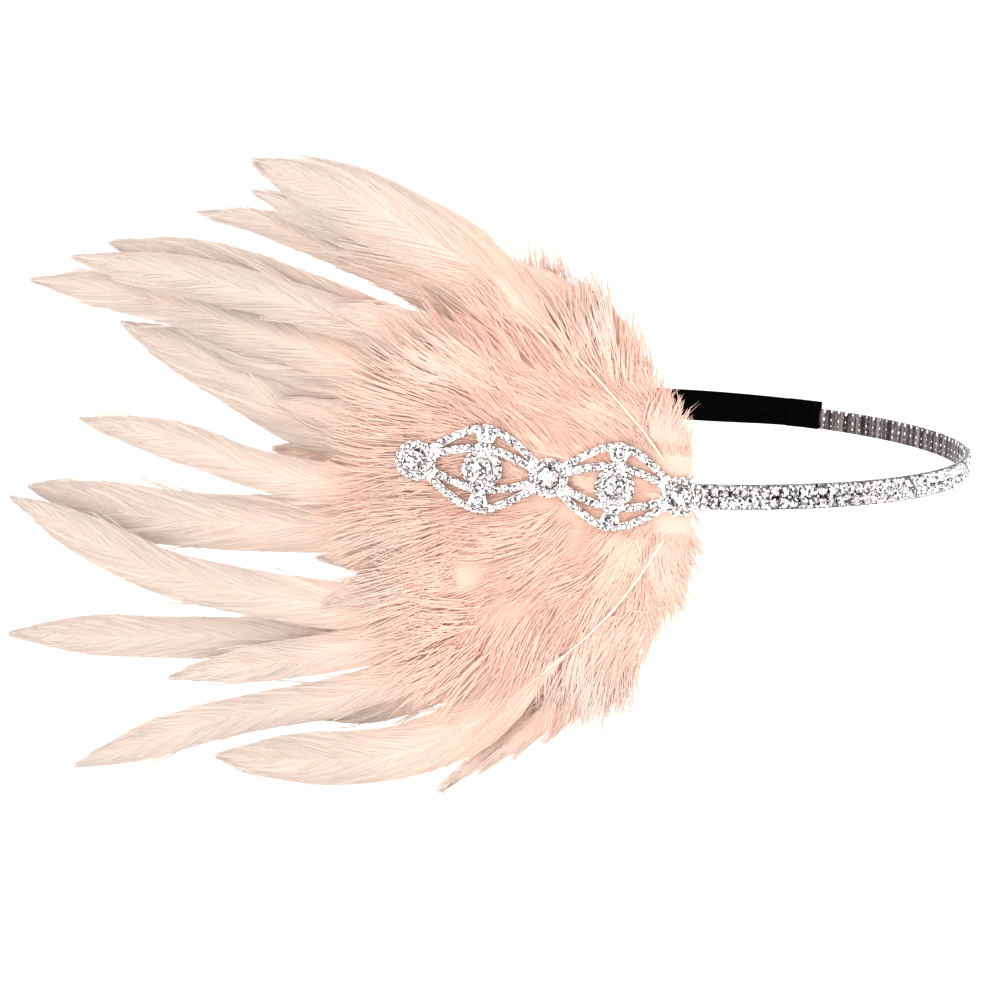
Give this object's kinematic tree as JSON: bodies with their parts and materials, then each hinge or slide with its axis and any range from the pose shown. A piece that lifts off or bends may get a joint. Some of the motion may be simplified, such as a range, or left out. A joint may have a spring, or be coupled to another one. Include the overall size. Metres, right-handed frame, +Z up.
{
  "type": "flapper feather headband",
  "caption": "Crystal head loop with an elastic at the far side, a side plume of pale peach feathers and down, and a pierced silver crystal applique on the plume.",
  "frame": {"origin": "middle of the head loop, at half the height of the crystal band", "axes": "+X to the forehead, -Y to the side of the head that wears the plume, +Z up"},
  "size_m": [0.2731, 0.1698, 0.1778],
  "materials": {
    "band_crystal": "two rows of foil-backed clear crystals in silver cups on a mesh",
    "black_elastic": "matte ribbed woven elastic",
    "peach_feather": "dyed hackle feathers and down, soft and matte",
    "silver_metal": "bright silver-plated cast metal set with small clear crystals",
    "clear_crystal": "clear cut glass with a foiled back"
  },
  "bodies": {
    "root": {"rhinestone_band": "band_crystal", "elastic_strap": "black_elastic", "feather_plume": "peach_feather", "applique_setting": "silver_metal", "cluster_stone_1": "clear_crystal", "cluster_stone_2": "clear_crystal", "cluster_stone_3": "clear_crystal", "cluster_stone_4": "clear_crystal", "cluster_stone_5": "clear_crystal", "accent_stone_1_upper": "clear_crystal", "accent_stone_1_lower": "clear_crystal", "accent_stone_2_upper": "clear_crystal", "accent_stone_2_lower": "clear_crystal"}
  },
  "joints": []
}
